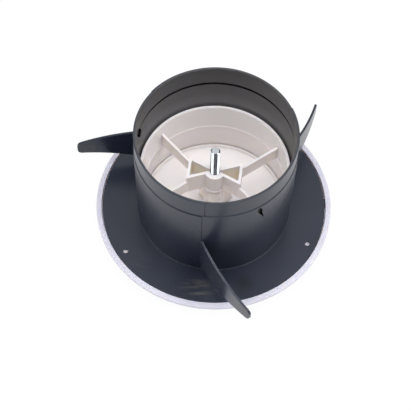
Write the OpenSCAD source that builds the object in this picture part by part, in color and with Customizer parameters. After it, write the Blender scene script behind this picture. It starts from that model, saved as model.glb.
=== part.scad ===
// Ventilation disc valve in its mounting collar, for a round duct.
// The origin is on the duct axis, in the plane of the flange's back. +Z runs into the duct.

/* [Collar spigot] */
// Outside diameter of the spigot at its rim
spigot_d = 98.6; // [94:0.2:104]
// Height of the spigot above the flange's back
spigot_h = 79; // [66:1:100]
// Wall of the band at the spigot's rim
rim_wall = 1.5; // [1.3:0.1:2.2]
// Height of the band at the spigot's rim
rim_band_h = 13.7; // [10:0.1:18]
// Step outwards under the rim band, on the spigot's outside
outer_step = 0.5; // [0.2:0.1:0.6]
// Step outwards under the rim band, in the spigot's bore
bore_step = 0.4; // [0.2:0.1:0.6]

/* [Collar flange] */
// Outside diameter of the flange
flange_d = 145.4; // [140:0.2:152]
// Thickness of the flange
flange_t = 2; // [1.6:0.1:2.6]
// Number of screw holes
screw_count = 3; // [2:1:6]
// Diameter of the circle that the screw holes lie on
screw_pcd = 134.4; // [128:0.2:136]
// Diameter of a screw hole
screw_hole_d = 3.5; // [3:0.1:5]
// Direction of the first screw hole
screw_azimuth = 94.5; // [0:0.5:360]

/* [Collar fins] */
// Number of fins
fin_count = 3; // [2:1:4]
// Direction of the first fin's root
fin_azimuth = 21.5; // [0:0.5:360]
// Length of a fin along its curve
fin_len = 50; // [30:1:60]
// Radius of a fin's curve, seen along the duct
fin_curve_r = 158; // [120:1:300]
// Angle between a fin and the duct's radius at the root
fin_lean = 35; // [20:1:45]
// Thickness of a fin
fin_t = 1.5; // [1.2:0.1:2.5]
// Height of a fin's upper edge at the root
fin_root_top = 36; // [30:0.5:44]
// Height of a fin's lower edge at the root
fin_root_bottom = 4; // [2:0.5:8]
// Height of a fin's upper edge at the tip
fin_tip_top = 24; // [20:0.5:30]
// Height of a fin's lower edge at the tip
fin_tip_bottom = 14; // [10:0.5:18]
// Radius of a fin's tip corners
fin_tip_round = 2.5; // [1:0.5:4]

/* [Collar windows] */
// Height of the three windows under the rim band
window_h = 2.2; // [1.5:0.1:4]
// Drop of the windows' top below the rim band
window_drop = 0.4; // [0.2:0.1:2]
// Width of the window on the left
left_window_w = 3; // [2:0.5:6]
// Direction of the window on the left
left_window_azimuth = 169; // [155:0.5:180]
// Width of the window on the right
right_window_w = 7; // [4:0.5:9]
// Direction of the window on the right
right_window_azimuth = -1.5; // [-10:0.5:10]
// Width of the window at the front
front_window_w = 4.5; // [3:0.5:7]
// Direction of the window at the front
front_window_azimuth = 302; // [285:0.5:320]

/* [Valve body rim] */
// Outside diameter of the rim that covers the flange
rim_d = 153.4; // [150:0.2:160]
// Height of the rim's lip above the flange's back
lip_rise = 0.8; // [0.4:0.1:1.5]
// Height of the rim's upright edge
rim_edge_h = 2.3; // [1.5:0.1:3]
// Height that the rounding under the edge takes
edge_round_h = 2.1; // [1:0.1:3]
// Depth of the rim's crest below the flange's back
crest_depth = 12; // [10:0.5:16]
// Diameter of the circle that the crest follows
crest_d = 112; // [108:1:120]
// Width of the flat along the crest
crest_flat = 2; // [1:0.5:4]
// Diameter of the circle where the rim's face turns flat
rim_flat_d = 136; // [124:0.5:142]
// Wall of the rim
rim_shell = 1.9; // [1.5:0.1:2.5]
// Width of the seat that carries the flange's edge
flange_seat_w = 6.6; // [4:0.1:8]
// Gap between the flange's edge and the rim's lip
flange_gap = 0.6; // [0.4:0.1:0.8]

/* [Valve body ring] */
// Height of the inner ring above the flange's back
ring_h = 42.6; // [40:0.2:60]
// Gap between the ring's upper wall and the spigot's bore
ring_gap = 1.4; // [0.8:0.1:2]
// Wall of the ring at its top
ring_wall = 1.7; // [1.3:0.1:2]
// Height of the ledge in the ring's bore
ledge_z = 22.5; // [18:0.5:26]
// Width of the ledge in the ring's bore
ledge_w = 0.4; // [0.2:0.1:0.8]
// Wall of the ring at the flange's back
throat_wall = 1.25; // [1:0.05:1.8]
// Height of the band that grips the spigot's bore
grip_h = 8; // [5:0.5:12]
// Height of the taper above the grip band
grip_taper_h = 12; // [6:0.5:14]
// Clearance between the grip band and the spigot's bore
grip_clear = 0.05; // [0.02:0.01:0.1]

/* [Hub and spokes] */
// Height of the hub's top above the flange's back
hub_top = 38; // [36:0.5:42]
// Height of the hub's bottom above the flange's back
hub_bottom = 22; // [20:0.5:24]
// Diameter of the hub
hub_d = 13; // [12.8:0.2:18]
// Width of the lip round the hub's bottom
hub_lip_w = 0.4; // [0.3:0.1:1.2]
// Height of the lip round the hub's bottom
hub_lip_h = 1.5; // [1:0.1:3]
// Depth to which the bow-tie's pockets reach through the hub to the spindle
bow_pocket_h = 9; // [6:0.5:10]
// Turn of the bow-tie walls about the duct axis
bow_turn = -6; // [-45:1:45]
// Length of the bow-tie from end to end
bow_len = 34; // [28:0.5:40]
// Width of the bow-tie at its ends
bow_w = 15.6; // [12:0.2:20]
// Thickness of the bow-tie's walls and of the spokes
web_t = 1.7; // [1.2:0.1:2.5]
// Angle of each spoke's outer end from the bow-tie's long axis
spoke_angle = 33; // [25:1:45]
// Drop of the spokes' top below the hub's top
spoke_drop = 0.5; // [0:0.1:2]
// Depth of the spokes
spoke_h = 10; // [6:0.5:14]

/* [Spindle and nut] */
// Thread diameter of the spindle
thread_d = 6; // [5:0.5:6]
// Length of the spindle above its head
spindle_len = 60; // [50:1:80]
// Height of the spindle head's upper face
head_top = 0.5; // [-1:0.5:4]
// Diameter of the spindle's head
head_d = 10.6; // [9:0.1:11]
// Thickness of the spindle's head
head_t = 4; // [3:0.5:5]
// Chamfer at the spindle's end
spindle_chamfer = 0.9; // [0.4:0.1:1.5]
// Width of the nut across its flats
nut_af = 10; // [9:0.1:10.4]
// Thickness of the nut
nut_t = 5; // [4:0.5:6]
// Depth of the nut above the hub's bottom
nut_sink = 0.4; // [0:0.1:2]
// Clearance between the spindle and what it turns in, on the radius
run_clear = 0.05; // [0.02:0.01:0.1]
// Clearance between the hub's bore and the spindle, on the radius
hub_bore_clear = 0.4; // [0.3:0.1:1]
// Clearance round the nut in its pocket
pocket_clear = 0.05; // [0.02:0.01:0.1]

/* [Valve disc] */
// Radial gap between the disc's back rim and the ring's bore
disc_gap = 0.3; // [0.3:0.05:0.8]
// Radial gap between the disc's edge and the mouth that it closes
seat_gap = 0.45; // [0.3:0.05:0.8]
// Depth of the disc's edge below the flange's back
disc_edge_depth = 4; // [3:0.1:6]
// Thickness of the disc's edge
disc_edge_t = 0.8; // [0.5:0.1:1.2]
// Height of the dome on the disc's face
disc_dome = 6.4; // [3:0.1:7]
// Thickness of the disc's floor
disc_floor_t = 2; // [1.5:0.1:3]
// Wall of the rim on the disc's back
disc_rim_wall = 1.6; // [1.2:0.1:2.4]
// Depth of the back rim's top below the flange's back
disc_rim_depth = 0.4; // [0.2:0.1:2]
// Diameter of the disc's boss
boss_d = 12.6; // [12.4:0.2:18]
// Height of the disc's boss above the flange's back
boss_top = 20; // [16:0.5:21]
// Number of gussets round the boss
gusset_count = 4; // [3:1:8]
// Reach of a gusset from the duct axis
gusset_reach = 15; // [10:0.5:24]
// Height of a gusset's top above the flange's back
gusset_top = 14; // [8:0.5:16]
// Thickness of a gusset
gusset_t = 1.6; // [1.2:0.1:2.4]

/* [Hidden] */
$fn = 128;
overcut = 1;
sink = 0.8;
overswing = 1;
curve_steps = 12;
hole_fn = 32;
pocket_fn = 64;
hex_sides = 6;
black = "#3a3d43";
white = "#e8e4e0";
steel = "#b9bdc2";

spigot_r = spigot_d / 2;
wall_r = spigot_r + outer_step;
band_bore_r = spigot_r - rim_wall;
bore_r = band_bore_r + bore_step;
band_z = spigot_h - rim_band_h;
flange_r = flange_d / 2;

rim_r = rim_d / 2;
rim_bore_r = flange_r + flange_gap;
crest_r = crest_d / 2;
grip_r = bore_r - grip_clear;
ring_r = bore_r - ring_gap;
ring_bore_r = ring_r - ring_wall;
throat_r = grip_r - throat_wall;
mouth_inner_r = crest_r - crest_flat / 2;
mouth_outer_r = crest_r + crest_flat / 2;
mouth_w = mouth_inner_r - throat_r;
rim_flat_w = rim_flat_d / 2 - mouth_outer_r;
edge_z = lip_rise - rim_edge_h;
under_z = edge_z - edge_round_h;

hub_r = hub_d / 2;
spoke_top = hub_top - spoke_drop;
spoke_end = (ring_bore_r + sink) * [cos(spoke_angle), sin(spoke_angle)];
bow_corner = [bow_len / 2 - web_t / 2, bow_w / 2 - web_t / 2];

thread_r = thread_d / 2;
head_r = head_d / 2;
spindle_top = head_top + spindle_len;
nut_r = nut_af / 2 / cos(180 / hex_sides);
nut_z = hub_bottom + nut_sink;

disc_rim_r = throat_r - disc_gap;
disc_rim_bore_r = disc_rim_r - disc_rim_wall;
disc_edge_r = mouth_at(disc_edge_depth) - seat_gap;
disc_face_z = -disc_edge_depth - disc_edge_t;
boss_r = boss_d / 2;
boss_foot = disc_face_z - disc_dome + disc_floor_t / 2;

// Radius of the mouth's wall at a depth below the flange's back
function mouth_at(depth) = mouth_inner_r - mouth_w * sqrt(1 - pow(depth / crest_depth, 2));

// Points of the mouth, a quarter ellipse from the throat down to the crest, drawn in by shrink
function mouth_curve(shrink) = [
    for (i = [0:curve_steps])
        let (a = 90 * i / curve_steps)
        [mouth_inner_r - (mouth_w - shrink) * cos(a), -(crest_depth - shrink) * sin(a)]
];

// Height of the rim's face at a radius: a wave from the crest up to the flat
function face_z(r) = under_z - (crest_depth + under_z)
    * (1 + cos(180 * min(1, (r - mouth_outer_r) / rim_flat_w))) / 2;

// Points of the rim's face from the crest out to a radius, raised by lift
function face_curve(r_end, lift) = [
    for (i = [0:curve_steps])
        let (r = mouth_outer_r + (r_end - mouth_outer_r) * i / curve_steps)
        [r, face_z(r) + lift]
];

// Points of the rounding under the rim's edge
function edge_curve() = [
    for (i = [0:curve_steps / 2])
        let (a = 180 * i / curve_steps)
        [rim_r - edge_round_h * (1 - sin(a)), edge_z - edge_round_h * cos(a)]
];

// Height of the disc's face at a radius
function dome_z(r) = disc_face_z - disc_dome * (1 - pow(r / disc_edge_r, 2));

module at_azimuths(count, first) {
    for (i = [0:count - 1])
        rotate([0, 0, first + 360 * i / count])
            children();
}

module wall_line(from, to) {
    run = to - from;
    translate(from)
        rotate([0, 0, atan2(run[1], run[0])])
            translate([0, -web_t / 2])
                square([norm(run), web_t]);
}

// Side of a fin, laid out along its chord, with its height upwards
module fin_side() {
    low_rise = atan2(fin_tip_bottom - fin_root_bottom, fin_len);
    top_fall = atan2(fin_root_top - fin_tip_top, fin_len);
    round_x = fin_len - fin_tip_round;
    low_y = fin_root_bottom + round_x * tan(low_rise) + fin_tip_round / cos(low_rise);
    top_y = fin_root_top - round_x * tan(top_fall) - fin_tip_round / cos(top_fall);
    low_start = low_rise - 90;
    top_end = 90 - top_fall;
    polygon(concat(
        [[-fin_t, fin_root_bottom], [0, fin_root_bottom]],
        [for (i = [0:curve_steps])
            let (a = low_start * (1 - i / curve_steps))
            [round_x + fin_tip_round * cos(a), low_y + fin_tip_round * sin(a)]],
        [for (i = [0:curve_steps])
            let (a = top_end * i / curve_steps)
            [round_x + fin_tip_round * cos(a), top_y + fin_tip_round * sin(a)]],
        [[0, fin_root_top], [-fin_t, fin_root_top]]
    ));
}

module fin() {
    swing = fin_len / fin_curve_r * 180 / PI;
    translate([(bore_r + wall_r) / 2, 0, 0])
        intersection() {
            rotate([0, 0, fin_lean - 90])
                translate([-fin_curve_r, 0, 0])
                    rotate_extrude(angle = swing + overswing)
                        translate([fin_curve_r - fin_t / 2, fin_root_bottom - overcut])
                            square([fin_t, fin_root_top - fin_root_bottom + 2 * overcut]);
            rotate([90, 0, fin_lean + swing / 2])
                translate([0, 0, -fin_len / 2])
                    linear_extrude(fin_len)
                        fin_side();
        }
}

module collar_window(azimuth, w) {
    rotate([0, 0, azimuth])
        translate([band_bore_r - overcut, -w / 2, band_z - window_drop - window_h])
            cube([rim_wall + outer_step + 2 * overcut, w, window_h]);
}

module mounting_collar() {
    color(black)
        difference() {
            union() {
                rotate_extrude()
                    polygon([
                        [bore_r, -flange_t],
                        [flange_r, -flange_t],
                        [flange_r, 0],
                        [wall_r, 0],
                        [wall_r, band_z],
                        [spigot_r, band_z],
                        [spigot_r, spigot_h],
                        [band_bore_r, spigot_h],
                        [band_bore_r, band_z],
                        [bore_r, band_z]
                    ]);
                at_azimuths(fin_count, fin_azimuth)
                    fin();
            }
            at_azimuths(screw_count, screw_azimuth)
                translate([screw_pcd / 2, 0, -flange_t - overcut])
                    cylinder(d = screw_hole_d, h = flange_t + 2 * overcut, $fn = hole_fn);
            collar_window(left_window_azimuth, left_window_w);
            collar_window(right_window_azimuth, right_window_w);
            collar_window(front_window_azimuth, front_window_w);
        }
}

module body_section() {
    seat_inner_r = rim_bore_r - flange_seat_w;
    shoulder_r = mouth_inner_r - (mouth_w - rim_shell)
        * sqrt(1 - pow(flange_t / (crest_depth - rim_shell), 2));
    back_mouth = [for (p = mouth_curve(rim_shell)) if (p[1] < -flange_t) p];
    back_face = [for (p = face_curve(seat_inner_r, rim_shell))
        if (p[0] < seat_inner_r && p[1] < -flange_t) p];
    polygon(concat(
        [
            [ring_r, ring_h],
            [ring_bore_r, ring_h],
            [ring_bore_r, ledge_z + ledge_w],
            [ring_bore_r - ledge_w, ledge_z]
        ],
        mouth_curve(0),
        face_curve(rim_r - edge_round_h, 0),
        edge_curve(),
        [
            [rim_r, lip_rise],
            [rim_bore_r, lip_rise],
            [rim_bore_r, -flange_t],
            [seat_inner_r, -flange_t]
        ],
        [for (i = [len(back_face) - 1:-1:0]) back_face[i]],
        [for (i = [len(back_mouth) - 1:-1:0]) back_mouth[i]],
        [
            [shoulder_r, -flange_t],
            [grip_r, -flange_t],
            [grip_r, grip_h],
            [ring_r, grip_h + grip_taper_h]
        ]
    ));
}

module bow_tie_walls() {
    for (side = [-1, 1]) {
        wall_line([side * bow_corner[0], -bow_corner[1] - web_t / 2],
            [side * bow_corner[0], bow_corner[1] + web_t / 2]);
        for (half = [-1, 1])
            wall_line([0, 0], [side * bow_corner[0], half * bow_corner[1]]);
    }
}

module spoke_walls() {
    for (side = [-1, 1], half = [-1, 1])
        wall_line([side * bow_corner[0], half * bow_corner[1]],
            [side * spoke_end[0], half * spoke_end[1]]);
}

module hub_core() {
    difference() {
        cylinder(r = hub_r, h = hub_top - hub_bottom);
        translate([0, 0, hub_top - hub_bottom - bow_pocket_h])
            at_azimuths(2, 0)
                linear_extrude(bow_pocket_h + overcut)
                    polygon([
                        [web_t / 2, 0],
                        [bow_corner[0], -bow_corner[1]],
                        [bow_corner[0], bow_corner[1]]
                    ]);
    }
}

module hub() {
    difference() {
        union() {
            translate([0, 0, hub_bottom])
                linear_extrude(hub_top - hub_bottom)
                    bow_tie_walls();
            translate([0, 0, spoke_top - spoke_h])
                linear_extrude(spoke_h)
                    spoke_walls();
            translate([0, 0, hub_bottom])
                hub_core();
            translate([0, 0, hub_bottom])
                cylinder(r = hub_r + hub_lip_w, h = hub_lip_h);
        }
        translate([0, 0, hub_bottom - overcut])
            cylinder(r = thread_r + hub_bore_clear, h = hub_top - hub_bottom + 2 * overcut,
                $fn = hole_fn);
        translate([0, 0, hub_bottom - overcut])
            cylinder(r = nut_r + pocket_clear, h = nut_sink + nut_t + overcut, $fn = hex_sides);
    }
}

module valve_body() {
    color(white)
        union() {
            rotate_extrude()
                body_section();
            rotate([0, 0, bow_turn])
                hub();
        }
}

module hub_nut() {
    color(steel)
        rotate([0, 0, bow_turn])
            translate([0, 0, nut_z])
                difference() {
                    cylinder(r = nut_r, h = nut_t, $fn = hex_sides);
                    translate([0, 0, -overcut])
                        cylinder(r = thread_r + run_clear, h = nut_t + 2 * overcut, $fn = hole_fn);
                }
}

module spindle() {
    color(steel)
        rotate_extrude()
            polygon([
                [0, head_top - head_t],
                [head_r, head_top - head_t],
                [head_r, head_top],
                [thread_r, head_top],
                [thread_r, spindle_top - spindle_chamfer],
                [thread_r - spindle_chamfer, spindle_top],
                [0, spindle_top]
            ]);
}

module disc_section() {
    middle_z = dome_z(disc_edge_r / curve_steps);
    dome = [for (i = [1:curve_steps])
        let (r = disc_edge_r * i / curve_steps)
        [r, dome_z(r)]];
    floor_line = [for (i = [curve_steps:-1:1])
        let (r = disc_rim_bore_r * i / curve_steps)
        [r, dome_z(r) + disc_floor_t]];
    polygon(concat(
        [[0, middle_z]],
        dome,
        [
            [disc_edge_r, -disc_edge_depth],
            [disc_rim_r, disc_edge_r - disc_rim_r - disc_edge_depth],
            [disc_rim_r, -disc_rim_depth],
            [disc_rim_bore_r, -disc_rim_depth]
        ],
        floor_line,
        [[0, middle_z + disc_floor_t]]
    ));
}

module gusset() {
    rotate([90, 0, 0])
        translate([0, 0, -gusset_t / 2])
            linear_extrude(gusset_t)
                polygon([
                    [0, boss_foot],
                    [gusset_reach, dome_z(gusset_reach) + disc_floor_t / 2],
                    [gusset_reach, 0],
                    [boss_r + gusset_t, gusset_top],
                    [0, gusset_top]
                ]);
}

module valve_disc() {
    color(white)
        difference() {
            union() {
                rotate_extrude()
                    disc_section();
                translate([0, 0, boss_foot])
                    cylinder(r = boss_r, h = boss_top - boss_foot);
                at_azimuths(gusset_count, bow_turn + 180 / gusset_count)
                    gusset();
            }
            translate([0, 0, head_top - head_t - run_clear])
                cylinder(r = head_r + run_clear, h = head_t + 2 * run_clear, $fn = pocket_fn);
            translate([0, 0, head_top - overcut])
                cylinder(r = thread_r + run_clear, h = boss_top - head_top + 2 * overcut, $fn = hole_fn);
        }
}

mounting_collar();
valve_body();
hub_nut();
spindle();
valve_disc();
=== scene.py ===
from math import atan2, cos, degrees, pi, radians, sin, sqrt, tan

import bpy
from mathutils import Matrix, Vector


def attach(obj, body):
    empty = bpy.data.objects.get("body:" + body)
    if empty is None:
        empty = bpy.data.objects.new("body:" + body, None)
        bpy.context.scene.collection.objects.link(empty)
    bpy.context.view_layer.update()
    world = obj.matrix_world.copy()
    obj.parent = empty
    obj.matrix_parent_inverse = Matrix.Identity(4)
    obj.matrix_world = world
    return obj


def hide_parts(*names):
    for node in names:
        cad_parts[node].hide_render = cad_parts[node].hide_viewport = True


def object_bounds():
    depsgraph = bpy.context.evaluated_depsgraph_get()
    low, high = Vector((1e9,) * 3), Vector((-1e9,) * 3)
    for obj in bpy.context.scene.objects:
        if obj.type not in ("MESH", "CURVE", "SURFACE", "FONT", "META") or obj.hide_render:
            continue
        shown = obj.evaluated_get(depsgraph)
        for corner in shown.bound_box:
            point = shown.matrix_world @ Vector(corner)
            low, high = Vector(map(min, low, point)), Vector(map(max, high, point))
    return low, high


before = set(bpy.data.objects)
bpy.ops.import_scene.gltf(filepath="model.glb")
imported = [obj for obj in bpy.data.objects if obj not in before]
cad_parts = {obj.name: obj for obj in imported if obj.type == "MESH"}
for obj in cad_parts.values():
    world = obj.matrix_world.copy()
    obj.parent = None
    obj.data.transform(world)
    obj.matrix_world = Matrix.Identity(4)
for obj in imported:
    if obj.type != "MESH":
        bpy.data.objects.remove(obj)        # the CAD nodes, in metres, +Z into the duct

mm = 0.001
turn = 2 * pi
over = 1.0  # how far a cutter stands past what it cuts, in mm


def boxList(box):
    return [[float(x) for x in corner] for corner in box]


cadBounds = boxList(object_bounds())
print("frame loaded:", ", ".join(sorted(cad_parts)))


# small helpers for modelling by hand

def clearSelection():
    if bpy.context.mode != "OBJECT":
        bpy.ops.object.mode_set(mode="OBJECT")
    bpy.ops.object.select_all(action="DESELECT")


def pick(obj):
    clearSelection()
    obj.select_set(True)
    bpy.context.view_layer.objects.active = obj
    return obj


def editAll(obj):
    pick(obj)
    bpy.ops.object.mode_set(mode="EDIT")
    bpy.ops.mesh.select_all(action="SELECT")


def settle(obj):
    # place and turn go into the mesh, so the object sits at the origin
    pick(obj)
    bpy.ops.object.transform_apply(location=True, rotation=True, scale=True)
    return obj


def closeUp(obj, reach=0.002):
    editAll(obj)
    bpy.ops.mesh.remove_doubles(threshold=reach * mm)
    bpy.ops.mesh.normals_make_consistent(inside=False)
    bpy.ops.object.mode_set(mode="OBJECT")
    return obj


def smoothOver(obj, angle=32):
    pick(obj)
    bpy.ops.object.shade_smooth_by_angle(angle=radians(angle))
    return obj


def evenShading(obj):
    # big faces lead the shading, so cuts leave no blotches on the round walls
    pick(obj)
    bpy.ops.object.modifier_add(type="WEIGHTED_NORMAL")
    weighted = obj.modifiers[-1]
    weighted.keep_sharp = True
    bpy.ops.object.modifier_apply(modifier=weighted.name)
    return obj


def roundEdges(obj, width, segments=3, angle=32):
    pick(obj)
    bpy.ops.object.modifier_add(type="BEVEL")
    bevel = obj.modifiers[-1]
    bevel.width = width
    bevel.segments = segments
    bevel.limit_method = "ANGLE"
    bevel.angle_limit = radians(angle)
    bevel.miter_outer = "MITER_ARC"
    bpy.ops.object.modifier_apply(modifier=bevel.name)
    return obj


def startPoint(name, at):
    clearSelection()
    bpy.ops.mesh.primitive_plane_add(size=mm, location=at)
    obj = bpy.context.object
    obj.name = name
    settle(obj)
    editAll(obj)
    bpy.ops.mesh.merge(type="CENTER")
    return obj


def drawPath(name, points):
    # a chain of edges through points in mm, left open in edit mode
    path = startPoint(name, [x * mm for x in points[0]])
    for here, there in zip(points, points[1:]):
        step = [(end - start) * mm for start, end in zip(here, there)]
        bpy.ops.mesh.extrude_vertices_move(TRANSFORM_OT_translate={"value": step})
    return path


def drawLine(name, points):
    # points are (radius, height), drawn on the XZ plane
    return drawPath(name, [(radius, 0, height) for radius, height in points])


def pullOut(outline, step):
    # the chain is closed to a face and pulled out into a block
    bpy.ops.mesh.select_all(action="SELECT")
    bpy.ops.mesh.edge_face_add()
    bpy.ops.mesh.extrude_region_move(TRANSFORM_OT_translate={"value": step})
    bpy.ops.object.mode_set(mode="OBJECT")
    return closeUp(outline)


def prism(name, outline, low, high):
    # an upright block on a plan outline
    return pullOut(drawPath(name, [(x, y, low) for x, y in outline]), (0, 0, (high - low) * mm))


def turnLine(name, points, steps):
    # the line is spun once about the duct axis
    shell = drawLine(name, points)
    bpy.ops.mesh.select_all(action="SELECT")
    bpy.ops.mesh.spin(steps=steps, angle=turn, center=(0, 0, 0), axis=(0, 0, 1))
    bpy.ops.object.mode_set(mode="OBJECT")
    return closeUp(shell)


def arcPoints(centre, radius, fromAngle, toAngle, count):
    angles = [radians(fromAngle + (toAngle - fromAngle) * i / count) for i in range(count + 1)]
    return [(centre[0] + radius * cos(a), centre[1] + radius * sin(a)) for a in angles]


def joinAll(name, parts):
    clearSelection()
    for part in parts:
        part.select_set(True)
    bpy.context.view_layer.objects.active = parts[0]
    bpy.ops.object.join()
    parts[0].name = name
    return parts[0]


def copyTurned(obj, name, angle):
    pick(obj)
    bpy.ops.object.duplicate()
    twin = bpy.context.object
    twin.name = name
    bpy.ops.transform.rotate(value=-angle, orient_axis="Z", center_override=(0, 0, 0))
    return settle(twin)


def boolWith(obj, other, operation):
    pick(obj)
    bpy.ops.object.modifier_add(type="BOOLEAN")
    cut = obj.modifiers[-1]
    cut.operation = operation
    cut.solver = "EXACT"
    cut.object = other
    bpy.ops.object.modifier_apply(modifier=cut.name)
    bpy.data.objects.remove(other)
    return obj


def slab(name, start, end, thick, low, high):
    # an upright wall between two points of the plan, in mm
    run = Vector(end) - Vector(start)
    mid = (Vector(start) + Vector(end)) / 2
    clearSelection()
    bpy.ops.mesh.primitive_cube_add(
        size=1,
        location=(mid.x * mm, mid.y * mm, (low + high) / 2 * mm),
        rotation=(0, 0, atan2(run.y, run.x)),
        scale=(run.length * mm, thick * mm, (high - low) * mm),
    )
    wall = bpy.context.object
    wall.name = name
    return settle(wall)


def upright(name, radius, low, high, vertices=64, spin=0, at=(0, 0)):
    # an upright round bar, in mm
    clearSelection()
    bpy.ops.mesh.primitive_cylinder_add(
        vertices=vertices, radius=radius * mm, depth=(high - low) * mm,
        location=(at[0] * mm, at[1] * mm, (low + high) / 2 * mm), rotation=(0, 0, radians(spin)),
    )
    bar = bpy.context.object
    bar.name = name
    return settle(bar)


def cutAway(obj, point, normal):
    # what lies beyond the plane goes, and the cut is closed
    editAll(obj)
    bpy.ops.mesh.bisect(
        plane_co=point, plane_no=normal, use_fill=True, clear_outer=True, threshold=0.0001 * mm,
    )
    bpy.ops.object.mode_set(mode="OBJECT")


# black collar: spigot, flange and three fins

collar = {
    "spigotR": 49.3, "wallR": 49.8, "boreR": 48.2, "bandBoreR": 47.8,
    "height": 79.0, "bandZ": 65.3, "grooveDeep": 1.0, "grooveTall": 1.7,
    "flangeR": 72.7, "flangeT": 2.0, "footFillet": 0.4, "footSteps": 5, "bandSlope": 0.15,
    "steps": 240, "edge": 0.35,
}
finRootR = (collar["boreR"] + collar["wallR"]) / 2
fin = {
    "first": 21.5, "count": 3, "length": 51.7, "curveR": 158.0, "lean": 35.0, "thick": 1.5,
    "rootTop": 36.0, "rootLow": 4.0, "tipTop": 24.0, "tipLow": 14.6, "tipRound": 3.6,
    "tipCuts": 6, "spare": 2.0, "spareSwing": 1.02, "steps": 22, "edge": 0.4, "flex": [0.0, -1.5, 0.0],
}
screwHole = {"count": 3, "first": 94.5, "circleR": 67.2, "radius": 1.75}
windows = [  # azimuth, width, top and height of the square ones
    {"azimuth": 169.0, "width": 3.0, "top": 64.9, "tall": 2.2},
    {"azimuth": -1.5, "width": 7.0, "top": 64.9, "tall": 2.2},
]
catch = {"azimuth": 169.0, "wide": 4.0, "out": 1.6, "sink": 0.3, "low": 61.6, "high": 66.0, "edge": 0.8}
comma = {  # the torn window at the front, (azimuth, height) round its edge
    "edge": [
        (300.5, 62.8), (302.6, 64.4), (304.8, 61.4), (304.5, 58.4),
        (306.5, 51.5), (305.7, 52.2), (302.3, 58.0),
    ],
    "deep": 3.6, "padLow": 50.0, "padHigh": 64.6, "padWide": 8.0, "padT": 1.8, "padSink": 0.3,
}
seam = {
    "rise": 0.4, "span": 42.0, "steps": 28, "root": 0.5, "bandTurn": 1.8, "wallTurn": 0.0,
    "bandInset": 0.3, "wallLow": 1.0, "wallInset": 0.6,
    "slitW": 0.3, "slitDeep": 0.15, "slitTurn": 0.3, "slitLap": 0.2,
}
nub = {"azimuth": 1.5, "wide": 6.0, "out": 0.4, "thick": 1.2, "low": -1.7, "high": -0.3, "edge": 0.15}


def makeSpigot():
    c = collar
    footMid = (c["wallR"] + c["footFillet"], c["footFillet"])
    foot = arcPoints(footMid, c["footFillet"], 270, 180, c["footSteps"])
    line = [
        (c["boreR"], -c["flangeT"]),
        (c["flangeR"], -c["flangeT"]),
        (c["flangeR"], 0),
        *foot,
        (c["wallR"], c["bandZ"] - c["bandSlope"]),
        (c["spigotR"], c["bandZ"] + c["bandSlope"]),
        (c["spigotR"], c["height"]),
        (c["bandBoreR"], c["height"]),
        (c["bandBoreR"], c["bandZ"]),
        (c["boreR"] + c["grooveDeep"], c["bandZ"]),
        (c["boreR"] + c["grooveDeep"], c["bandZ"] - c["grooveTall"]),
        (c["boreR"], c["bandZ"] - c["grooveTall"]),
        (c["boreR"], -c["flangeT"]),
    ]
    spigot = turnLine("collarSpigot", line, c["steps"])
    return roundEdges(spigot, c["edge"] * mm, 3)


def makeFin():
    f = fin
    swing = f["length"] / f["curveR"]
    startAngle = radians(f["lean"] - 90)
    centre = Vector((finRootR - f["curveR"] * cos(startAngle), -f["curveR"] * sin(startAngle)))
    low = f["rootLow"] - f["spare"]
    blade = drawLine("fin", [(finRootR, low), (finRootR, low + f["rootTop"] + f["spare"])])
    bpy.ops.mesh.select_all(action="SELECT")
    bpy.ops.mesh.spin(
        steps=f["steps"], angle=-swing * f["spareSwing"],
        center=(centre.x * mm, centre.y * mm, 0), axis=(0, 0, 1),
    )
    bpy.ops.object.mode_set(mode="OBJECT")
    closeUp(blade)
    pick(blade)
    bpy.ops.object.modifier_add(type="SOLIDIFY")
    blade.modifiers[-1].thickness = f["thick"] * mm
    blade.modifiers[-1].offset = 0
    bpy.ops.object.modifier_apply(modifier=blade.modifiers[-1].name)

    # the side outline is cut by planes that stand across the chord
    chord = radians(f["lean"]) + swing / 2
    along = Vector((cos(chord), sin(chord), 0))
    up = Vector((0, 0, 1))
    root = Vector((finRootR * mm, 0, 0))

    def sidePlane(s, z, outAngle):
        point = root + along * s * mm + up * z * mm
        normal = along * cos(radians(outAngle)) + up * sin(radians(outAngle))
        cutAway(blade, point, normal)

    lowRise = degrees(atan2(f["tipLow"] - f["rootLow"], f["length"]))
    topFall = degrees(atan2(f["rootTop"] - f["tipTop"], f["length"]))
    sidePlane(0, f["rootTop"], 90 - topFall)
    sidePlane(0, f["rootLow"], lowRise - 90)
    sidePlane(f["length"], 0, 0)
    roundS = f["length"] - f["tipRound"]
    lowZ = f["rootLow"] + roundS * tan(radians(lowRise)) + f["tipRound"] / cos(radians(lowRise))
    topZ = f["rootTop"] - roundS * tan(radians(topFall)) - f["tipRound"] / cos(radians(topFall))
    for i in range(1, f["tipCuts"]):
        for full, middleZ in ((90 - topFall, topZ), (lowRise - 90, lowZ)):
            a = full * i / f["tipCuts"]
            sidePlane(roundS + f["tipRound"] * cos(radians(a)), middleZ + f["tipRound"] * sin(radians(a)), a)
    closeUp(blade)
    return roundEdges(blade, f["edge"] * mm, 3, 40)


def flexFin(blade, number, flex):
    # the fins are springy, so one of them stands a little off its moulded angle
    a = radians(fin["first"] + 360 * number / fin["count"])
    root = (finRootR * cos(a) * mm, finRootR * sin(a) * mm, 0)
    editAll(blade)
    bpy.ops.transform.rotate(value=-radians(flex), orient_axis="Z", center_override=root)
    bpy.ops.object.mode_set(mode="OBJECT")


def drillScrewHoles(flange):
    for i in range(screwHole["count"]):
        a = radians(screwHole["first"] + 360 * i / screwHole["count"])
        at = (screwHole["circleR"] * cos(a), screwHole["circleR"] * sin(a))
        drill = upright("drill", screwHole["radius"], -2 * collar["flangeT"], collar["flangeT"], 32, 0, at)
        boolWith(flange, drill, "DIFFERENCE")


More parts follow.
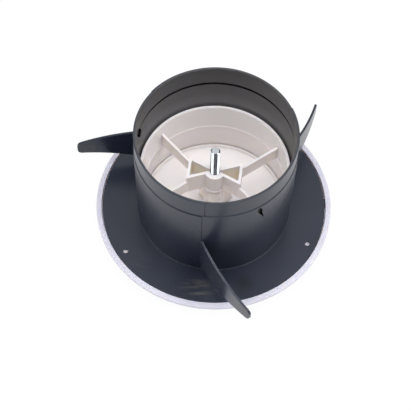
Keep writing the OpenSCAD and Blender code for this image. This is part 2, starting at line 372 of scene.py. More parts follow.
def cutWindows(wall):
    for window in windows:
        a = radians(window["azimuth"])
        near = Vector((cos(a), sin(a))) * (collar["bandBoreR"] - over)
        far = Vector((cos(a), sin(a))) * (collar["wallR"] + 2 * over)
        cutter = slab("cutter", near, far, window["width"], window["top"] - window["tall"], window["top"])
        boolWith(wall, cutter, "DIFFERENCE")
    # the comma is blind, with a pad behind it
    mid = radians(sum(a for a, z in comma["edge"]) / len(comma["edge"]))
    out = Vector((cos(mid), sin(mid)))
    side = Vector((-sin(mid), cos(mid))) * comma["padWide"] / 2
    behind = out * (collar["boreR"] - comma["padSink"])
    pad = slab("pad", behind - side, behind + side, comma["padT"], comma["padLow"], comma["padHigh"])
    boolWith(wall, pad, "UNION")
    outR = collar["wallR"] + over
    points = [(outR * cos(radians(a)), outR * sin(radians(a)), z) for a, z in comma["edge"]]
    inward = Vector((-out.x, -out.y, 0)) * comma["deep"] * mm
    boolWith(wall, pullOut(drawPath("cutter", points), inward), "DIFFERENCE")


def makeSeamStep(name, outerR, low, high, endAzimuth):
    # a raised skin that grows out of the wall, spun about a centre that is a little off the duct axis
    s = seam
    shift = s["rise"] / sin(radians(s["span"]))
    innerR = outerR - s["root"]
    skin = drawLine(name, [(innerR, low), (outerR, low), (outerR, high), (innerR, high)])
    bpy.ops.mesh.select_all(action="SELECT")
    bpy.ops.mesh.edge_face_add()
    bpy.ops.mesh.select_all(action="SELECT")
    bpy.ops.mesh.spin(steps=s["steps"], angle=-radians(s["span"]), center=(0, 0, 0), axis=(0, 0, 1))
    bpy.ops.object.mode_set(mode="OBJECT")
    closeUp(skin)
    editAll(skin)
    bpy.ops.mesh.fill_holes(sides=4)
    start = endAzimuth - s["span"]
    bpy.ops.mesh.select_all(action="SELECT")
    bpy.ops.transform.rotate(value=-radians(start), orient_axis="Z", center_override=(0, 0, 0))
    away = radians(start + 90)
    bpy.ops.transform.translate(value=(shift * cos(away) * mm, shift * sin(away) * mm, 0))
    bpy.ops.object.mode_set(mode="OBJECT")
    return closeUp(skin)


def addSeams(wall):
    # at each fin a step in the band and one in the wall, and a slit that runs down each
    s = seam
    bandR, wallR = collar["spigotR"], collar["wallR"]
    bandZ, rimZ = collar["bandZ"], collar["height"]
    for i in range(fin["count"]):
        azimuth = fin["first"] + 360 * i / fin["count"]
        for name, outerR, low, high, extra in (
            ("bandSeam", bandR, bandZ + s["bandInset"], rimZ - s["bandInset"], s["bandTurn"]),
            ("wallSeam", wallR, s["wallLow"], bandZ - s["wallInset"], s["wallTurn"]),
        ):
            boolWith(wall, makeSeamStep(name, outerR, low, high, azimuth + extra), "UNION")
        for name, outerR, low, high, extra in (
            ("bandSlit", bandR, bandZ - s["bandInset"], rimZ + over, s["bandTurn"]),
            ("wallSlit", wallR, fin["rootTop"] + over, bandZ + s["slitLap"], s["wallTurn"]),
        ):
            a = radians(azimuth + extra + s["slitTurn"])
            along = Vector((cos(a), sin(a)))
            near, far = along * (outerR - s["slitDeep"]), along * (outerR + over)
            boolWith(wall, slab(name, near, far, s["slitW"], low, high), "DIFFERENCE")


def makeCatch():
    # a small catch stands inwards at the left window
    a = radians(catch["azimuth"])
    out = Vector((cos(a), sin(a)))
    side = Vector((-sin(a), cos(a))) * catch["wide"] / 2
    at = out * (collar["boreR"] + catch["sink"] - catch["out"] / 2)
    thick = catch["out"] + 2 * catch["sink"]
    lug = slab("windowCatch", at - side, at + side, thick, catch["low"], catch["high"])
    return roundEdges(lug, catch["edge"] * mm, 4)


def makeNub():
    # a low mark of the mould on the flange's edge
    a = radians(nub["azimuth"])
    out = Vector((cos(a), sin(a)))
    side = Vector((-sin(a), cos(a))) * nub["wide"] / 2
    at = out * (collar["flangeR"] - nub["thick"] / 2 + nub["out"])
    bump = slab("flangeNub", at - side, at + side, nub["thick"], nub["low"], nub["high"])
    return roundEdges(bump, nub["edge"] * mm, 2)


collarSpigot = makeSpigot()
addSeams(collarSpigot)
cutWindows(collarSpigot)
drillScrewHoles(collarSpigot)
firstFin = makeFin()
fins = []
for i, flex in enumerate(fin["flex"]):
    fins.append(copyTurned(firstFin, "fin", radians(fin["first"] + 360 * i / fin["count"])))
    flexFin(fins[-1], i, flex)
bpy.data.objects.remove(firstFin)
collarShell = joinAll("collarShell", [collarSpigot, makeNub(), makeCatch(), *fins])
evenShading(smoothOver(collarShell))
print("collar modelled:", len(collarShell.data.polygons), "faces")


# white body: rim, ring, spokes and hub

body = {
    "rimR": 76.7, "lipZ": 0.8, "edgeZ": -1.5, "edgeRound": 2.1,
    "crestR": 56.0, "crestZ": -12.0, "crestFlat": 2.0, "shell": 1.9,
    "lipBoreR": 73.3, "seatW": 6.6, "seatZ": -2.0, "flatR": 68.0,
    "gripR": 48.15, "gripZ": 8.0, "taperZ": 20.0, "throatR": 46.9,
    "ringR": 46.8, "ringBoreR": 45.1, "ringZ": 42.6, "ledgeZ": 22.5, "ledgeW": 0.4,
    "mouthSteps": 12, "faceSteps": 16, "roundSteps": 6, "steps": 240, "edge": 0.25,
}
web = {
    "top": 38.0, "low": 22.0, "turn": -6.0, "length": 34.0, "width": 15.6, "thick": 1.7,
    "hubR": 6.5, "boreR": 3.4, "boreSides": 48, "lipW": 0.4, "lipH": 1.5, "lipDrop": 0.3,
    "pocketZ": 29.0, "pocketClear": 0.05, "nutR": 5.83, "nutPocket": 5.4, "nutTurn": 30,
    "spokeAngle": 35.0, "spokeDrop": 4.6, "spokeDeep": 10.4, "spokeSink": 0.9, "rootSink": 0.15,
    "edge": 0.25, "edgeAngle": 40, "merge": 0.06,
}


def makeBodyShell():
    b = body
    innerR = b["crestR"] - b["crestFlat"] / 2
    outerR = b["crestR"] + b["crestFlat"] / 2
    mouthW = innerR - b["throatR"]
    deep = -b["crestZ"]
    underZ = b["edgeZ"] - b["edgeRound"]
    endR = b["rimR"] - b["edgeRound"]

    def mouth(shrink):
        angles = [radians(90 * i / b["mouthSteps"]) for i in range(b["mouthSteps"] + 1)]
        return [(innerR - (mouthW - shrink) * cos(a), -(deep - shrink) * sin(a)) for a in angles]

    def face(toR, lift):
        line = []
        for i in range(b["faceSteps"] + 1):
            r = outerR + (toR - outerR) * i / b["faceSteps"]
            wave = (1 + cos(pi * min(1, (r - outerR) / (b["flatR"] - outerR)))) / 2
            line.append((r, underZ - (deep + underZ) * wave + lift))
        return line

    rounding = arcPoints((endR, b["edgeZ"]), b["edgeRound"], -90, 0, b["roundSteps"])[1:]
    seatR = b["lipBoreR"] - b["seatW"]
    backFace = [p for p in face(seatR, b["shell"]) if p[0] < seatR and p[1] < b["seatZ"]]
    shoulderR = innerR - (mouthW - b["shell"]) * sqrt(1 - (b["seatZ"] / (deep - b["shell"])) ** 2)
    backMouth = [p for p in mouth(b["shell"]) if p[1] < b["seatZ"]]
    line = [
        (b["ringR"], b["ringZ"]),
        (b["ringBoreR"], b["ringZ"]),
        (b["ringBoreR"], b["ledgeZ"] + b["ledgeW"]),
        (b["ringBoreR"] - b["ledgeW"], b["ledgeZ"]),
        *mouth(0),
        *face(endR, 0),
        *rounding,
        (b["rimR"], b["lipZ"]),
        (b["lipBoreR"], b["lipZ"]),
        (b["lipBoreR"], b["seatZ"]),
        (seatR, b["seatZ"]),
        *reversed(backFace),
        *reversed(backMouth),
        (shoulderR, b["seatZ"]),
        (b["gripR"], b["seatZ"]),
        (b["gripR"], b["gripZ"]),
        (b["ringR"], b["taperZ"]),
        (b["ringR"], b["ringZ"]),
    ]
    shell = turnLine("bodyShell", line, b["steps"])
    return roundEdges(shell, b["edge"] * mm, 3)


def makeHubWeb():
    # the bow-tie's walls come from one outline, then the round core, the pockets and the spokes
    w = web
    top, low = w["top"], w["low"]
    endX = w["length"] / 2
    innerX = endX - w["thick"]
    midX = endX - w["thick"] / 2
    slope = (w["width"] - w["thick"]) / (w["length"] - w["thick"])
    lift = w["thick"] / 2 * sqrt(1 + slope ** 2)
    endY = endX * slope + lift
    innerY = innerX * slope - lift
    outline = [(endX, -endY), (endX, endY), (0, lift), (-endX, endY), (-endX, -endY), (0, -lift)]
    hub = prism("hubWeb", outline, low, top)
    boolWith(hub, upright("core", w["hubR"], low, top), "UNION")
    for side in (-1, 1):
        # each pocket runs right up to the spindle, over a floor
        corners = [(side * lift / slope, 0), (side * innerX, innerY), (side * innerX, -innerY)]
        pocket = prism("pocket", corners, low - over, top + over)
        floor = upright("pocketFloor", w["hubR"] + w["pocketClear"], low - 2 * over, w["pocketZ"])
        boolWith(pocket, floor, "DIFFERENCE")
        boolWith(hub, pocket, "DIFFERENCE")
    boolWith(hub, upright("lip", w["hubR"] + w["lipW"], low - w["lipDrop"], low + w["lipH"]), "UNION")
    boolWith(hub, upright("bore", w["boreR"], low - over, top + over, w["boreSides"]), "DIFFERENCE")
    nutHole = upright("nutPocket", w["nutR"], low - over, low + w["nutPocket"], 6, w["nutTurn"])
    boolWith(hub, nutHole, "DIFFERENCE")
    closeUp(hub, w["merge"])
    roundEdges(hub, w["edge"] * mm, 2, w["edgeAngle"])
    rootX = midX - w["rootSink"]
    reach = body["ringBoreR"] + w["spokeSink"]
    spokeTop = top - w["spokeDrop"]
    a = radians(w["spokeAngle"])
    for side in (-1, 1):
        for half in (-1, 1):
            root = (side * rootX, half * rootX * slope)
            far = (side * reach * cos(a), half * reach * sin(a))
            spoke = slab("spoke", root, far, w["thick"], spokeTop - w["spokeDeep"], spokeTop)
            boolWith(hub, roundEdges(spoke, w["edge"] * mm, 2, w["edgeAngle"]), "UNION")
    turned = copyTurned(hub, "hubWeb", radians(w["turn"]))
    bpy.data.objects.remove(hub)
    return closeUp(turned)


bodyShell = joinAll("bodyShell", [makeBodyShell(), makeHubWeb()])
evenShading(smoothOver(bodyShell))
print("body modelled:", len(bodyShell.data.polygons), "faces")


# white disc that closes the mouth

disc = {
    "edgeR": 46.9, "edgeZ": -4.0, "edgeT": 0.8, "edgeStep": 0.3, "dome": 6.4, "floorT": 2.0,
    "rimR": 46.6, "rimWall": 1.6, "rimZ": -0.4, "rimRise": 1.3, "rimPower": 8,
    "bossR": 6.3, "bossZ": 20.0, "boreR": 3.05, "headR": 5.35, "headLow": -3.55, "headTop": 0.55,
    "gussets": 4, "gussetFirst": 45, "gussetRoot": 5.8, "gussetReach": 15.0, "gussetTop": 14.0,
    "gussetT": 1.6, "gussetSink": 0.3, "faceSteps": 24, "backSteps": 20, "steps": 192, "edge": 0.3,
}


def makeDisc():
    d = disc
    faceZ = d["edgeZ"] - d["edgeT"]

    def domeZ(r):
        return faceZ - d["dome"] * (1 - (r / d["edgeR"]) ** 2)

    rimBore = d["rimR"] - d["rimWall"]
    faceRadii = [d["edgeR"] * i / d["faceSteps"] for i in range(d["faceSteps"] + 1)]
    line = [(r, domeZ(r)) for r in faceRadii]
    line += [
        (d["edgeR"], d["edgeZ"]),
        (d["rimR"], d["edgeZ"] + d["edgeStep"]),
        (d["rimR"], d["rimZ"]),
        (rimBore, d["rimZ"]),
    ]
    for i in range(d["backSteps"] + 1):
        r = rimBore + (d["bossR"] - rimBore) * i / d["backSteps"]
        line.append((r, domeZ(r) + d["floorT"] + d["rimRise"] * (r / rimBore) ** d["rimPower"]))
    line += [
        (d["bossR"], d["bossZ"]),
        (d["boreR"], d["bossZ"]),
        (d["boreR"], d["headTop"]),
        (d["headR"], d["headTop"]),
        (d["headR"], d["headLow"]),
        (0, d["headLow"]),
    ]
    plate = turnLine("valveDiscShell", line, d["steps"])
    roundEdges(plate, d["edge"] * mm, 3)
    gussets = []
    footZ = domeZ(0) + d["floorT"] - d["gussetSink"]
    for i in range(d["gussets"]):
        # a sloped rib between the boss and the disc's back
        a = radians(web["turn"] + d["gussetFirst"] + 360 * i / d["gussets"])
        out = Vector((cos(a), sin(a), 0))
        near, far = out.xy * d["gussetRoot"], out.xy * d["gussetReach"]
        wall = slab("gusset", near, far, d["gussetT"], footZ, d["gussetTop"])
        slope = Vector((d["gussetReach"] - d["bossR"] - d["gussetT"], d["gussetTop"]))
        cutAway(wall, out * d["gussetReach"] * mm, out * slope.y + Vector((0, 0, slope.x)))
        closeUp(wall)
        gussets.append(roundEdges(wall, d["edge"] * mm, 2, 40))
    return joinAll("valveDiscShell", [plate, *gussets])


valveDiscShell = smoothOver(makeDisc())
print("disc modelled:", len(valveDiscShell.data.polygons), "faces")


# steel spindle with its thread

rod = {
    "radius": 3.0, "rootR": 2.45, "pitch": 1.0, "low": 0.5, "top": 60.5, "chamfer": 0.9,
    "headR": 5.3, "headT": 4.0, "headLap": 0.02, "headEdge": 0.4,
    "stepsPerTurn": 40, "spareTurns": 4, "spare": 0.4, "slack": 0.1, "steps": 48,
}
threadForm = [  # heights in pitches, over one turn, with the size that each has
    (-2.0, "rootR"), (-1.87, "rootR"), (-1.56, "radius"),
    (-1.44, "radius"), (-1.13, "rootR"), (-1.0, "rootR"),
]


def makeSpindle():
    r = rod
    pitch = r["pitch"]
    line = drawLine("spindleThread", [(r[size], r["low"] + share * pitch) for share, size in threadForm])
    bpy.ops.object.mode_set(mode="OBJECT")
    pick(line)
    bpy.ops.object.modifier_add(type="SCREW")
    screw = line.modifiers[-1]
    screw.axis = "Z"
    screw.angle = turn
    screw.screw_offset = pitch * mm
    screw.steps = r["stepsPerTurn"]
    screw.render_steps = r["stepsPerTurn"]
    screw.iterations = int((r["top"] - r["low"]) / pitch) + r["spareTurns"]
    screw.use_merge_vertices = True
    bpy.ops.object.modifier_apply(modifier=screw.name)
    closeUp(line)
    cutAway(line, (0, 0, (r["top"] + r["spare"]) * mm), (0, 0, 1))
    cutAway(line, (0, 0, (r["low"] - r["spare"]) * mm), (0, 0, -1))
    closeUp(line)
    # the ends are cut flat and the upper one is chamfered
    wide = r["radius"] + r["slack"]
    envelope = turnLine("envelope", [
        (0, r["low"]),
        (wide, r["low"]),
        (wide, r["top"] - r["chamfer"]),
        (wide - r["chamfer"], r["top"]),
        (0, r["top"]),
    ], r["steps"])
    boolWith(line, envelope, "INTERSECT")
    headLow, headTop = r["low"] - r["headT"], r["low"] + r["headLap"]
    headLine = [(0, headLow), (r["headR"], headLow), (r["headR"], headTop), (0, headTop)]
    head = roundEdges(turnLine("head", headLine, r["steps"]), r["headEdge"] * mm, 2)
    return joinAll("spindleThread", [line, head])


spindleThread = smoothOver(makeSpindle(), 40)
print("spindle modelled:", len(spindleThread.data.polygons), "faces")


# finishes

def newMaterial(name):
    mat = bpy.data.materials.new(name)
    mat.use_nodes = True
    nodes = mat.node_tree.nodes
    nodes.clear()
    out = nodes.new("ShaderNodeOutputMaterial")
    shader = nodes.new("ShaderNodeBsdfPrincipled")
    mat.node_tree.links.new(shader.outputs["BSDF"], out.inputs["Surface"])
    coords = nodes.new("ShaderNodeTexCoord")
    return mat, nodes, mat.node_tree.links, shader, coords


def noiseNode(nodes, links, coords, scale, detail=4.0, roughness=0.55, stretch=(1, 1, 1)):
    mapping = nodes.new("ShaderNodeMapping")
    mapping.inputs["Scale"].default_value = stretch
    links.new(coords.outputs["Object"], mapping.inputs["Vector"])
    noise = nodes.new("ShaderNodeTexNoise")
    noise.inputs["Scale"].default_value = scale
    noise.inputs["Detail"].default_value = detail
    noise.inputs["Roughness"].default_value = roughness
    links.new(mapping.outputs["Vector"], noise.inputs["Vector"])
    return noise.outputs["Fac"]


def rampNode(nodes, links, source, stops):
    ramp = nodes.new("ShaderNodeValToRGB")
    elements = ramp.color_ramp.elements
    while len(elements) < len(stops):
        elements.new(0.5)
    for element, (place, colour) in zip(elements, stops):
        element.position = place
        element.color = (*colour, 1)
    links.new(source, ramp.inputs["Fac"])
    return ramp.outputs["Color"]


def rangeNode(nodes, links, source, low, high, fromLow=0.3, fromHigh=0.7):
    scaled = nodes.new("ShaderNodeMapRange")
    scaled.inputs["From Min"].default_value = fromLow
    scaled.inputs["From Max"].default_value = fromHigh
    scaled.inputs["To Min"].default_value = low
    scaled.inputs["To Max"].default_value = high
    links.new(source, scaled.inputs["Value"])
    return scaled.outputs["Result"]


zones = {  # distances and heights, in mm, between which a look fades in or out
    "bore": (48.4, 49.0), "boreDustAndPaintedLight": (42.0, 79.0), "grooveFoot": (63.0, 63.4), "grooveTop": (65.5, 65.8),
    "skin": (49.25, 49.3), "fin": (50.5, 51.5), "overFlange": (3.0, 4.0), "rim": (60.0, 70.0),
}


def fadeNode(nodes, links, source, zone, low=0, high=1):
    start, end = zones[zone]
    return rangeNode(nodes, links, source, low, high, start * mm, end * mm)


def grey(level):
    return (level, level, level)


def bumpNode(nodes, links, source, strength, distance):
    bump = nodes.new("ShaderNodeBump")
    bump.inputs["Strength"].default_value = strength
    bump.inputs["Distance"].default_value = distance
    links.new(source, bump.inputs["Height"])
    return bump.outputs["Normal"]


def heightNode(nodes, links, coords):
    parts = nodes.new("ShaderNodeSeparateXYZ")
    links.new(coords.outputs["Object"], parts.inputs["Vector"])
    return parts.outputs["Z"]


def axisDistance(nodes, links, coords):
    flat = nodes.new("ShaderNodeVectorMath")
    flat.operation = "MULTIPLY"
    flat.inputs[1].default_value = (1, 1, 0)
    links.new(coords.outputs["Object"], flat.inputs[0])
    far = nodes.new("ShaderNodeVectorMath")
    far.operation = "LENGTH"
    links.new(flat.outputs["Vector"], far.inputs[0])
    return far.outputs["Value"]


def spotNode(nodes, links, coords, at, reach, soft=0.5):
    # 1 in the middle of an ellipsoid, 0 outside it, in mm
    mapping = nodes.new("ShaderNodeMapping")
    mapping.vector_type = "TEXTURE"
    mapping.inputs["Location"].default_value = [x * mm for x in at]
    mapping.inputs["Scale"].default_value = [x * mm for x in reach]
    links.new(coords.outputs["Object"], mapping.inputs["Vector"])
    far = nodes.new("ShaderNodeVectorMath")
    far.operation = "LENGTH"
    links.new(mapping.outputs["Vector"], far.inputs[0])
    return rangeNode(nodes, links, far.outputs["Value"], 1, 0, soft, 1)


def timesNode(nodes, links, first, second):
    times = nodes.new("ShaderNodeMath")
    times.operation = "MULTIPLY"
    links.new(first, times.inputs[0])
    links.new(second, times.inputs[1])
    return times.outputs["Value"]


def maxNode(nodes, links, first, second):
    larger = nodes.new("ShaderNodeMath")
    larger.operation = "MAXIMUM"
    links.new(first, larger.inputs[0])
    links.new(second, larger.inputs[1])
    return larger.outputs["Value"]


def blendNode(nodes, links, share, first, second):
    blend = nodes.new("ShaderNodeMix")
    blend.data_type = "RGBA"
    links.new(share, blend.inputs["Factor"])
    links.new(first, blend.inputs["A"])
    if isinstance(second, tuple):
        blend.inputs["B"].default_value = (*second, 1)
    else:
        links.new(second, blend.inputs["B"])
    return blend.outputs["Result"]


scuffs = [  # rubbed patches on the flange, in mm, with how much they show
    {"at": (-8, -61.5, 0), "reach": (15, 6.5, 2), "share": 0.8},
    {"at": (-5, -67.0, 0), "reach": (13, 4.0, 2), "share": 0.8},
    {"at": (-46, -46, 0), "reach": (9, 9, 2), "share": 0.2},
    {"at": (9, -64, 0), "reach": (14, 6, 2), "share": 0.3},
]
# a painted shadow on the flange beside the front fin, in mm
paintedFinShadow = {"at": (21.0, -58.8, 0), "reach": (7.5, 8.0, 2)}
windowShade = {"sink": 0.8, "deep": 3.4, "spare": 1.2, "tall": 3.6, "soft": 0.8}
black = {
    "cloud": {"scale": 24, "detail": 2, "roughness": 0.5}, "cloudRange": (0.2, 0.8),
    "tones": ((0.010, 0.013, 0.023), (0.017, 0.021, 0.034)), "tint": (0.90, 0.94, 1.0),
    "streaks": {"scale": 420, "detail": 4, "roughness": 0.6, "stretch": (0.16, 1, 1)},
    "streakRange": (0.45, 0.62),
    "boreDustAndPaintedLight": [(0.0, (0.130, 0.130, 0.138)), (0.35, (0.060, 0.061, 0.065)), (1.0, (0.036, 0.037, 0.040))],
    "rubbed": (0.072, 0.070, 0.064), "paintedShade": (0.005, 0.006, 0.009), "shade": (0.003, 0.003, 0.004),
    "soft": 0.1, "gloss": 0.5, "finGloss": 0.4, "shadeGloss": 0.02,
    "rough": (0.26, 0.31), "boreRough": 0.42, "finRough": 0.24,
    "grain": {"scale": 900, "detail": 3}, "bump": {"strength": 0.12, "distance": 0.0002},
}


def slateBlack():
    b = black
    mat, nodes, links, shader, coords = newMaterial("slateBlackPlastic")
    cloud = noiseNode(nodes, links, coords, **b["cloud"])
    colour = rampNode(nodes, links, cloud, list(zip(b["cloudRange"], b["tones"])))
    away = axisDistance(nodes, links, coords)
    height = heightNode(nodes, links, coords)

    # the bore has a dull film of dust, and its colour is painted lighter towards the foot of the bore:
    # painted light against the shade down there
    inside = fadeNode(nodes, links, away, "bore", 1, 0)
    boreDustAndPaintedLight = rampNode(nodes, links, fadeNode(nodes, links, height, "boreDustAndPaintedLight"), b["boreDustAndPaintedLight"])
    colour = blendNode(nodes, links, inside, colour, boreDustAndPaintedLight)

    # the flange is rubbed at the front, and beside the front fin it gets a painted shadow
    streaks = noiseNode(nodes, links, coords, **b["streaks"])
    rubbed = rangeNode(nodes, links, streaks, 0, 1, *b["streakRange"])
    for scuff in scuffs:
        spot = spotNode(nodes, links, coords, scuff["at"], scuff["reach"], b["soft"])
        share = rangeNode(nodes, links, timesNode(nodes, links, spot, rubbed), 0, scuff["share"], 0, 1)
        colour = blendNode(nodes, links, share, colour, b["rubbed"])
    dark = spotNode(nodes, links, coords, paintedFinShadow["at"], paintedFinShadow["reach"], b["soft"])
    colour = blendNode(nodes, links, dark, colour, b["paintedShade"])

    # the groove and the windows in the wall are in deep shade
    aboveFoot = fadeNode(nodes, links, height, "grooveFoot")
    deep = timesNode(nodes, links, aboveFoot, fadeNode(nodes, links, height, "grooveTop", 1, 0))
    for hole in windows:
        a = radians(hole["azimuth"])
        shadeR = collar["boreR"] - windowShade["sink"]
        at = (shadeR * cos(a), shadeR * sin(a), hole["top"] - hole["tall"] / 2)
        reach = (windowShade["deep"], hole["width"] / 2 + windowShade["spare"], windowShade["tall"])
        deep = maxNode(nodes, links, deep, spotNode(nodes, links, coords, at, reach, windowShade["soft"]))
    deep = timesNode(nodes, links, deep, fadeNode(nodes, links, away, "skin", 1, 0))
    colour = blendNode(nodes, links, deep, colour, b["shade"])
    links.new(colour, shader.inputs["Base Color"])
    clear = rampNode(nodes, links, inside, [(0.0, b["tint"]), (1.0, grey(1.0))])
    links.new(clear, shader.inputs["Specular Tint"])

    # the fins stand between the wall and the flange's edge and have a gloss of their own
    above = fadeNode(nodes, links, height, "overFlange")
    onFin = timesNode(nodes, links, above, fadeNode(nodes, links, away, "fin"))
    gloss = rangeNode(nodes, links, deep, b["gloss"], b["shadeGloss"], 0, 1)
    gloss = blendNode(nodes, links, onFin, gloss, grey(b["finGloss"]))
    links.new(gloss, shader.inputs["Specular IOR Level"])
    rough = rangeNode(nodes, links, cloud, *b["rough"], *b["cloudRange"])
    rough = blendNode(nodes, links, inside, rough, grey(b["boreRough"]))
    links.new(blendNode(nodes, links, onFin, rough, grey(b["finRough"])), shader.inputs["Roughness"])
    grain = noiseNode(nodes, links, coords, **b["grain"])
    links.new(bumpNode(nodes, links, grain, **b["bump"]), shader.inputs["Normal"])
    return mat


paintedPocketShades = [  # painted warm shade in the bow-tie's left and right pocket, in mm
    {"at": (-9.5, 4.4, 29), "reach": (10.0, 5.6, 8.6)},
    {"at": (9.5, 2.5, 29), "reach": (10.0, 5.6, 8.6)},
]
white = {
    "cloud": {"scale": 22, "detail": 4},
    "cream": [(0.3, (0.92, 0.86, 0.83)), (0.7, (0.95, 0.89, 0.865))],
    "paintedRimShade": [(0.3, (0.56, 0.55, 0.625)), (0.7, (0.63, 0.62, 0.695))],
    "tan": (1.0, 0.90, 0.75), "tanSoft": 0.6, "rough": (0.34, 0.46),
    "glow": 0.3, "glowReach": (0.006, 0.004, 0.0025),
    "grain": {"scale": 700, "detail": 2}, "bump": {"strength": 0.05, "distance": 0.0002},
}


def warmWhite():
    mat, nodes, links, shader, coords = newMaterial("warmWhitePlastic")
    cloud = noiseNode(nodes, links, coords, **white["cloud"])
    cream = rampNode(nodes, links, cloud, white["cream"])
    paintedRimShade = rampNode(nodes, links, cloud, white["paintedRimShade"])
    # the rim is given painted shade: a greyer, cooler white than the rest
    outwards = fadeNode(nodes, links, axisDistance(nodes, links, coords), "rim")
    colour = blendNode(nodes, links, outwards, cream, paintedRimShade)
    # the bow-tie's pockets get painted shade, a warm tan down in them
    for paintedShade in paintedPocketShades:
        spot = spotNode(nodes, links, coords, paintedShade["at"], paintedShade["reach"], white["tanSoft"])
        colour = blendNode(nodes, links, spot, colour, white["tan"])
    links.new(colour, shader.inputs["Base Color"])
    links.new(rangeNode(nodes, links, cloud, *white["rough"]), shader.inputs["Roughness"])
    grain = noiseNode(nodes, links, coords, **white["grain"])
    links.new(bumpNode(nodes, links, grain, **white["bump"]), shader.inputs["Normal"])
    shader.inputs["Subsurface Weight"].default_value = white["glow"]
    shader.inputs["Subsurface Radius"].default_value = white["glowReach"]
    shader.inputs["Subsurface Scale"].default_value = 1.0
    return mat


plating = {
    "cloud": {"scale": 60, "detail": 3},
    "tones": [(0.3, (0.50, 0.53, 0.57)), (0.7, (0.56, 0.59, 0.63))], "rough": (0.15, 0.20),
    "grain": {"scale": 1800, "detail": 2}, "bump": {"strength": 0.03, "distance": 0.0001},
}


def brightZinc():
    mat, nodes, links, shader, coords = newMaterial("brightZinc")
    cloud = noiseNode(nodes, links, coords, **plating["cloud"])
    links.new(rampNode(nodes, links, cloud, plating["tones"]), shader.inputs["Base Color"])
    shader.inputs["Metallic"].default_value = 1
    links.new(rangeNode(nodes, links, cloud, *plating["rough"]), shader.inputs["Roughness"])
    grain = noiseNode(nodes, links, coords, **plating["grain"])
    links.new(bumpNode(nodes, links, grain, **plating["bump"]), shader.inputs["Normal"])
    return mat


def dress(obj, mat):
    obj.data.materials.clear()
    obj.data.materials.append(mat)


blackPlastic = slateBlack()
whitePlastic = warmWhite()
zinc = brightZinc()
dress(collarShell, blackPlastic)
dress(bodyShell, whitePlastic)
dress(valveDiscShell, whitePlastic)
dress(spindleThread, zinc)
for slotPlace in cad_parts["hub_nut"].material_slots:
    slotPlace.material = zinc
print("finishes set")


# every piece rides on its body and stands for its node

for piece, node, bodyName, slotName in (
    (collarShell, "mounting_collar", "housing", "black_plastic"),
    (bodyShell, "valve_body", "housing", "white_plastic"),
    (spindleThread, "spindle", "screw", "zinc_steel"),
    (valveDiscShell, "valve_disc", "disc", "white_plastic"),
):
    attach(piece, bodyName)
    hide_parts(node)


# floor, light and camera

studio = {
    "floorSize": 6.0, "floorTone": 0.86, "floorGlow": 0.96, "glossGlow": 0.5,
    "roomStrength": 0.68, "sky": (0.94, 0.96, 1.0), "lamp": (1.0, 0.975, 0.975), "aim": (0, 0, 0.03),
}
lamps = [  # place and size in metres, power in watts
    {"name": "leftKey", "place": (-0.66, -0.20, 0.80), "size": (0.7, 0.7), "power": 2.9, "colour": "lamp"},
    {"name": "rightKey", "place": (0.66, -0.20, 0.80), "size": (0.7, 0.7), "power": 4.2, "colour": "lamp"},
    {"name": "topBox", "place": (0.0, -0.05, 1.1), "size": (0.5, 0.4), "power": 5.2, "colour": "sky"},
]
darkSide = {
    "size": 0.5, "place": (-0.004, -0.40, 0.66), "stretch": (1.45, 1.0, 1.0), "tone": (0.02, 0.02, 0.025),
}


def seenRays(nodes, links, path, gloss):
    # what the camera sees directly, in gloss or through glass
    total = path.outputs["Is Camera Ray"]
    shine = rangeNode(nodes, links, path.outputs["Is Glossy Ray"], 0, gloss, 0, 1)
    for ray in (shine, path.outputs["Is Transmission Ray"]):
        total = maxNode(nodes, links, total, ray)
    return total


def makeFloor():
    clearSelection()
    bpy.ops.mesh.primitive_plane_add(size=studio["floorSize"], location=(0, 0, cadBounds[0][2]))
    floor = bpy.context.object
    floor.name = "studioFloor"
    mat = bpy.data.materials.new("studioFloorPaint")
    mat.use_nodes = True
    nodes = mat.node_tree.nodes
    links = mat.node_tree.links
    nodes.clear()
    out = nodes.new("ShaderNodeOutputMaterial")
    paint = nodes.new("ShaderNodeBsdfDiffuse")
    paint.inputs["Color"].default_value = (*grey(studio["floorTone"]), 1)
    glow = nodes.new("ShaderNodeEmission")
    glow.inputs["Color"].default_value = (1, 1, 1, 1)
    path = nodes.new("ShaderNodeLightPath")
    share = nodes.new("ShaderNodeMath")
    share.operation = "MULTIPLY"
    share.inputs[1].default_value = studio["floorGlow"]
    links.new(seenRays(nodes, links, path, studio["glossGlow"]), share.inputs[0])
    mix = nodes.new("ShaderNodeMixShader")
    links.new(share.outputs["Value"], mix.inputs["Fac"])
    links.new(paint.outputs["BSDF"], mix.inputs[1])
    links.new(glow.outputs["Emission"], mix.inputs[2])
    links.new(mix.outputs["Shader"], out.inputs["Surface"])
    dress(floor, mat)


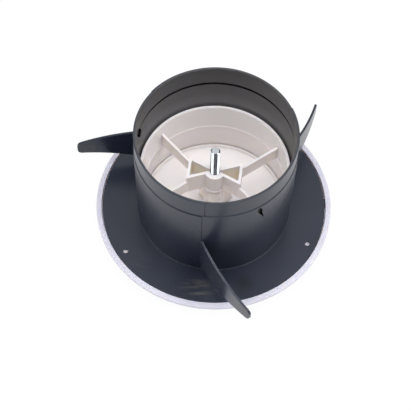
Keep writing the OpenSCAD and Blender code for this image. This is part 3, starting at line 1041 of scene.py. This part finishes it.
def makeWorld():
    world = bpy.data.worlds.new("studioWorld")
    bpy.context.scene.world = world
    world.use_nodes = True
    nodes = world.node_tree.nodes
    links = world.node_tree.links
    nodes.clear()
    out = nodes.new("ShaderNodeOutputWorld")
    room = nodes.new("ShaderNodeBackground")
    room.inputs["Color"].default_value = (*studio["sky"], 1)
    room.inputs["Strength"].default_value = studio["roomStrength"]
    white = nodes.new("ShaderNodeBackground")
    white.inputs["Color"].default_value = (1, 1, 1, 1)
    path = nodes.new("ShaderNodeLightPath")
    mix = nodes.new("ShaderNodeMixShader")
    links.new(seenRays(nodes, links, path, 1), mix.inputs["Fac"])
    links.new(room.outputs["Background"], mix.inputs[1])
    links.new(white.outputs["Background"], mix.inputs[2])
    links.new(mix.outputs["Shader"], out.inputs["Surface"])


def aimAtObject(thing):
    look = Vector(studio["aim"]) - thing.location
    thing.rotation_euler = look.to_track_quat("-Z", "Y").to_euler()


def addSoftBox(name, place, size, power, colour):
    light = bpy.data.lights.new(name, "AREA")
    light.color = studio[colour]
    light.shape = "RECTANGLE"
    light.size, light.size_y = size
    light.energy = power
    lamp = bpy.data.objects.new(name, light)
    bpy.context.scene.collection.objects.link(lamp)
    lamp.location = place
    aimAtObject(lamp)


def addDarkCard():
    # the dark side of the room, which only gloss shows
    clearSelection()
    bpy.ops.mesh.primitive_plane_add(size=darkSide["size"], location=darkSide["place"])
    card = bpy.context.object
    card.name = "darkCard"
    aimAtObject(card)
    card.scale = darkSide["stretch"]
    settle(card)
    card.visible_camera = False
    card.visible_diffuse = False
    card.visible_shadow = False
    card.visible_transmission = False
    card.visible_volume_scatter = False
    mat, nodes, links, shader, coords = newMaterial("darkCardPaint")
    shader.inputs["Base Color"].default_value = (*darkSide["tone"], 1)
    dress(card, mat)


lens = {  # place in mm and angles in degrees, as fitted to the photo
    "focal": 90.5, "sensor": 36.0, "place": (-3.64, -354.8, 587.0),
    "tiltFromTop": 30.813, "roll": 1.637, "near": 0.01, "far": 20,
}


def makeCamera():
    data = bpy.data.cameras.new("photoCamera")
    data.lens = lens["focal"]
    data.sensor_width = lens["sensor"]
    data.clip_start = lens["near"]
    data.clip_end = lens["far"]
    cam = bpy.data.objects.new("photoCamera", data)
    bpy.context.scene.collection.objects.link(cam)
    cam.location = Vector(lens["place"]) * mm
    tilt = Matrix.Rotation(radians(lens["tiltFromTop"]), 3, "X")
    cam.rotation_euler = (tilt @ Matrix.Rotation(radians(lens["roll"]), 3, "Z")).to_euler()
    bpy.context.scene.camera = cam


makeFloor()
makeWorld()
for lamp in lamps:
    addSoftBox(**lamp)
addDarkCard()
makeCamera()
bpy.context.scene.view_settings.view_transform = "Standard"
print("studio and camera set")
